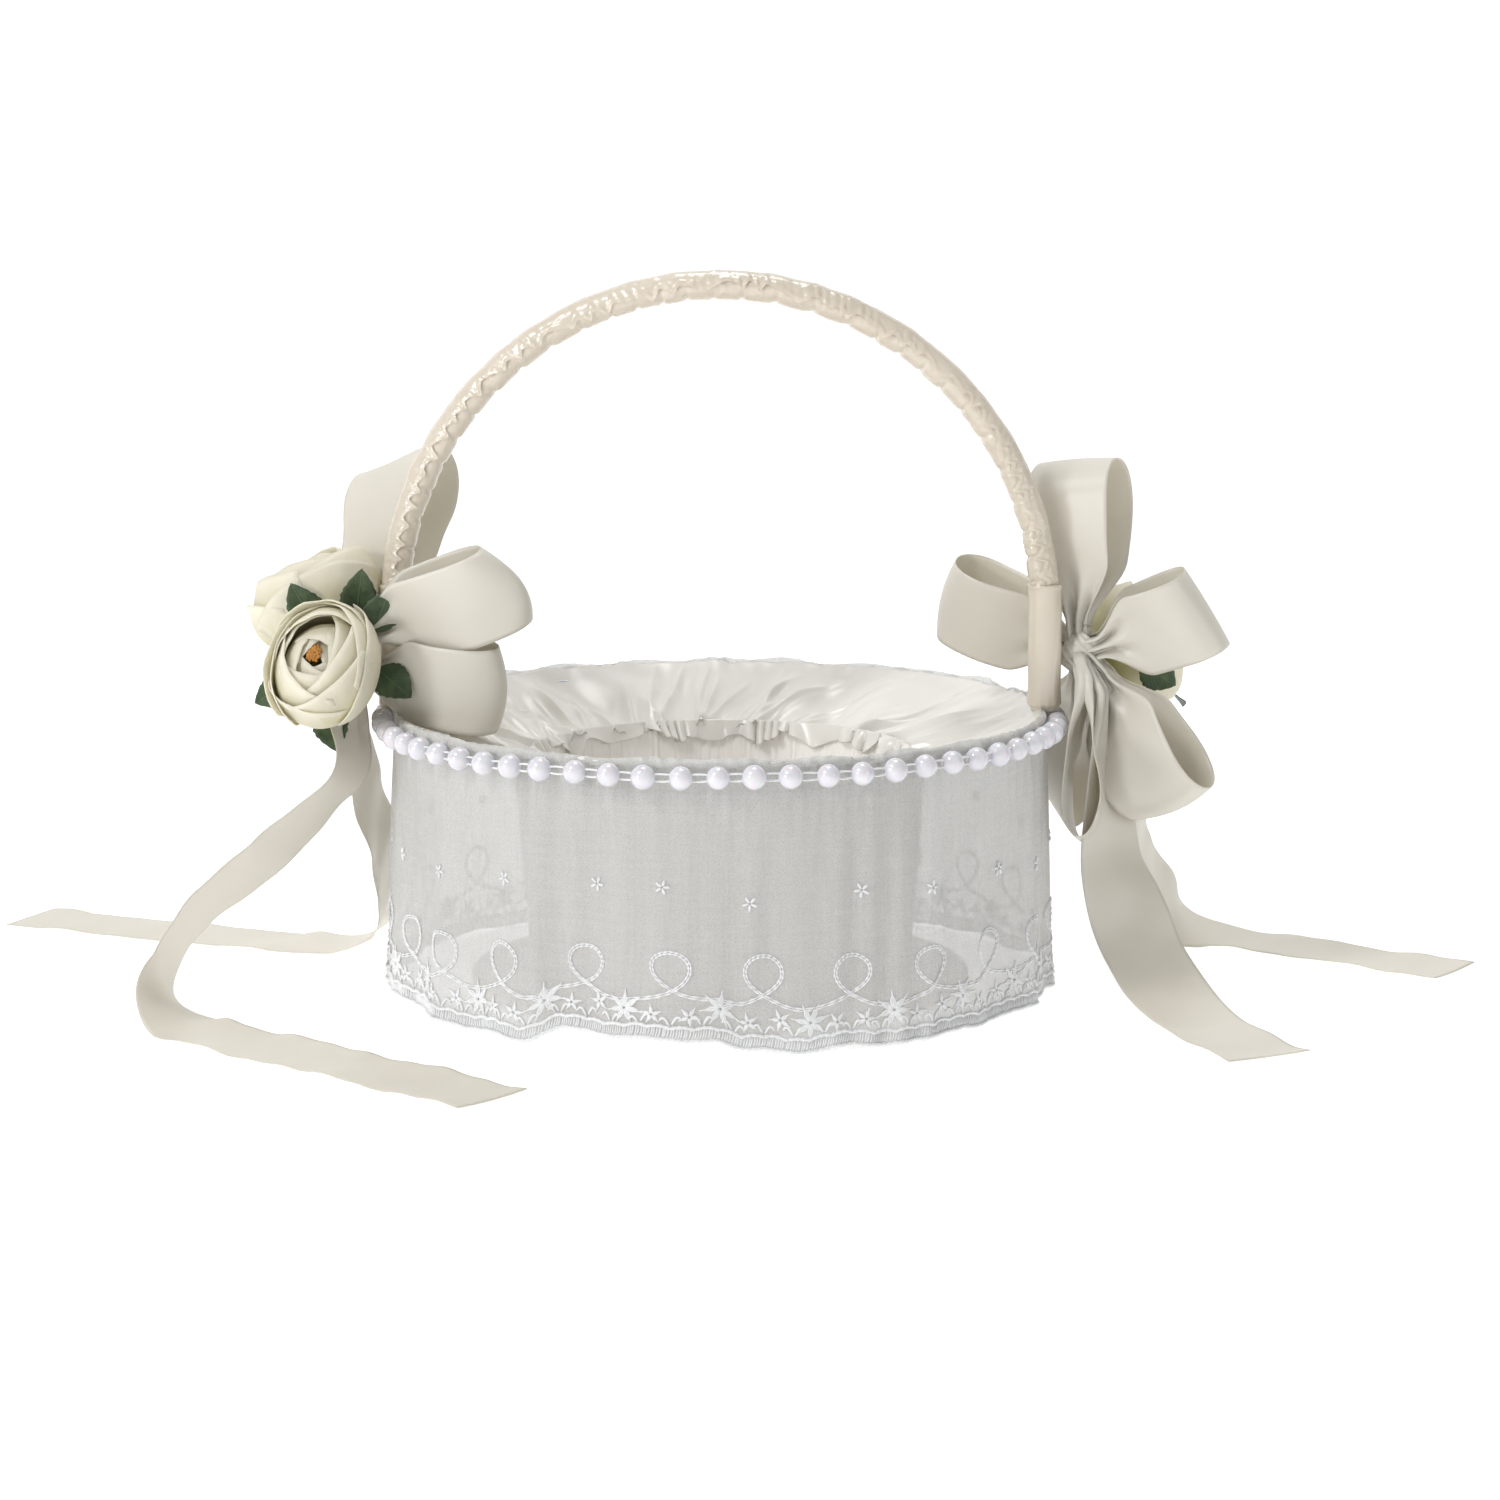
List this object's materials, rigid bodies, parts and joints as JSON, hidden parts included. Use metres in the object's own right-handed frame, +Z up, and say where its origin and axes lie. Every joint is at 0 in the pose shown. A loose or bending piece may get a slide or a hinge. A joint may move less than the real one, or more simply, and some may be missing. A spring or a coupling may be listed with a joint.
{
  "type": "flower girl basket",
  "caption": "Round satin basket with a pearl-edged rim, lace skirt, fixed padded arch handle and ribbon bows with silk roses at the handle's feet, for carrying petals.",
  "frame": {"origin": "centre of the base board's underside, on the surface the basket stands on", "axes": "+Z up; +X towards the right handle foot, so the handle's arch lies in the XZ plane; -Y is the front"},
  "size_m": [0.4438, 0.2506, 0.2054],
  "materials": {
    "base_satin": "satin-covered card",
    "card": "bare grey-brown card",
    "tub_satin": "fine-pleated satin",
    "collar_satin": "smooth satin",
    "steel_wire": "drawn wire",
    "lace": "embroidered tulle",
    "pearl": "pearl lacquer",
    "thread": "twisted cotton",
    "foam": "soft foam",
    "handle_satin": "ruched satin",
    "ribbon_satin": "satin ribbon",
    "silk_petal": "pressed silk",
    "stamen": "matt",
    "leaf_silk": "pressed silk",
    "stem_wire": "taped wire"
  },
  "bodies": {
    "root": {"base_board": "base_satin", "collar_frill": "collar_satin", "floor_lining": "collar_satin", "floor_pad": "card", "frame_struts": "steel_wire", "handle_core_wire": "steel_wire", "handle_foam": "foam", "handle_satin_cover": "handle_satin", "lace_skirt": "lace", "left_back_rose_bud": "silk_petal", "left_back_rose_centre": "stamen", "left_back_rose_petals": "silk_petal", "left_bow_back_tail": "ribbon_satin", "left_bow_front_tail": "ribbon_satin", "left_bow_knot": "ribbon_satin", "left_bow_lower_loop": "ribbon_satin", "left_bow_top_loop": "ribbon_satin", "left_bow_upper_loop": "ribbon_satin", "left_foot_band": "handle_satin", "left_foot_lashing": "steel_wire", "left_front_rose_bud": "silk_petal", "left_front_rose_centre": "stamen", "left_front_rose_petals": "silk_petal", "left_leaves": "leaf_silk", "left_rose_stems": "stem_wire", "mouth_ring": "steel_wire", "pearl_threads": "thread", "right_bow_back_loop": "ribbon_satin", "right_bow_back_tail": "ribbon_satin", "right_bow_front_tail": "ribbon_satin", "right_bow_hanging_loop": "ribbon_satin", "right_bow_inner_loop": "ribbon_satin", "right_bow_knot": "ribbon_satin", "right_bow_lower_loop": "ribbon_satin", "right_bow_outer_loop": "ribbon_satin", "right_bow_top_loop": "ribbon_satin", "right_foot_band": "handle_satin", "right_foot_lashing": "steel_wire", "right_leaves": "leaf_silk", "right_lower_rose_bud": "silk_petal", "right_lower_rose_centre": "stamen", "right_lower_rose_petals": "silk_petal", "right_rose_stems": "stem_wire", "right_upper_rose_bud": "silk_petal", "right_upper_rose_centre": "stamen", "right_upper_rose_petals": "silk_petal", "rim_pearls": "pearl", "rim_ring": "steel_wire", "satin_collar": "collar_satin", "skirt_hem_edging": "lace", "tub_lining": "collar_satin", "tub_pleated_cover": "tub_satin", "tub_wall": "card"}
  },
  "joints": []
}
